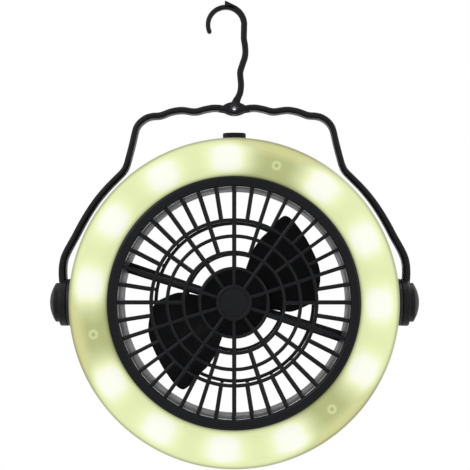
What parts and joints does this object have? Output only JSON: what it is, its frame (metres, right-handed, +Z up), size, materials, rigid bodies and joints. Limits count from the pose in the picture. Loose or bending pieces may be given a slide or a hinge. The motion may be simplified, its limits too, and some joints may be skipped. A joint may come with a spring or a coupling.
{
  "type": "portable camping fan",
  "caption": "Round hanging camping fan with a ring lamp: caged propeller, waved bail handle on two pivots, and a slim swinging hook above.",
  "frame": {"origin": "the hook's seat: the inner side of its crown, straight above the fan's axis", "axes": "+Z up, from the fan to the hook; the fan's front faces -Y; +X to the right as seen from the front"},
  "size_m": [0.2292, 0.05, 0.29],
  "materials": {
    "shell_black": "fine moulded texture, satin",
    "grille_black": "moulded black, half gloss",
    "bail_black": "moulded black, half gloss",
    "knob_black": "moulded black, half gloss",
    "button_black": "moulded black, glossy",
    "blade_black": "moulded black, half gloss",
    "duct_grey": "moulded dark grey, satin",
    "diffuser_milky": "milky and translucent, satin, lit from behind",
    "board_white": "white solder mask",
    "board_green": "green solder mask",
    "led_warm": "LED package with phosphor window",
    "switch_body": "moulded, dull",
    "motor_can": "drawn and zinc plated",
    "screw_steel": "zinc plated",
    "contact_nickel": "nickel plated",
    "pin_dark": "blackened",
    "cell_sleeve": "printed sleeve over a steel can",
    "lead_red": "soft insulation",
    "lead_black": "soft insulation",
    "washer_rubber": "dull"
  },
  "bodies": {
    "hook": {"hook": "bail_black"},
    "bail": {"bail": "bail_black", "knob_caps": "knob_black", "hook_pin": "pin_dark"},
    "housing": {"rear_shell": "shell_black", "diffuser": "diffuser_milky", "led_board": "board_white", "leds": "led_warm", "front_grille": "grille_black", "grille_screws": "screw_steel", "assembly_screws": "screw_steel", "air_duct": "duct_grey", "rear_guard": "grille_black", "motor": "motor_can", "motor_cap": "grille_black", "motor_cap_screws": "screw_steel", "motor_leads": "lead_black", "battery_trays": "duct_grey", "cells": "cell_sleeve", "contact_springs": "contact_nickel", "contact_plates": "contact_nickel", "supply_leads": "lead_black", "lamp_leads": "lead_red", "control_board": "board_green", "push_switch": "switch_body", "pivot_screws": "screw_steel", "friction_washers": "washer_rubber"},
    "rotor": {"propeller": "blade_black", "motor_shaft": "screw_steel"},
    "button": {"push_button": "button_black"},
    "door_a": {"battery_door_a": "shell_black"},
    "door_b": {"battery_door_b": "shell_black"},
    "door_c": {"battery_door_c": "shell_black"}
  },
  "joints": [
    {"name": "hook_swing", "type": "hinge", "parent": "hook", "child": "bail", "pos_m": [0, 0, -0.0613], "axis": [0, 1, 0], "range_deg": [-41, 60]},
    {"name": "tilt", "type": "hinge", "parent": "bail", "child": "housing", "pos_m": [0, 0, -0.1818], "axis": [1, 0, 0], "continuous": true},
    {"name": "propeller_spin", "type": "hinge", "parent": "housing", "child": "rotor", "pos_m": [0, 0, -0.1818], "axis": [0, 1, 0], "continuous": true},
    {"name": "button_press", "type": "slide", "parent": "housing", "child": "button", "axis": [0, 0, -1], "range_m": [0, 0.0025], "stiffness_N_per_m": 600},
    {"name": "door_a_off", "type": "slide", "parent": "housing", "child": "door_a", "axis": [0, 1, 0], "range_m": [0, 0.025]},
    {"name": "door_b_off", "type": "slide", "parent": "housing", "child": "door_b", "axis": [0, 1, 0], "range_m": [0, 0.025]},
    {"name": "door_c_off", "type": "slide", "parent": "housing", "child": "door_c", "axis": [0, 1, 0], "range_m": [0, 0.025]}
  ]
}
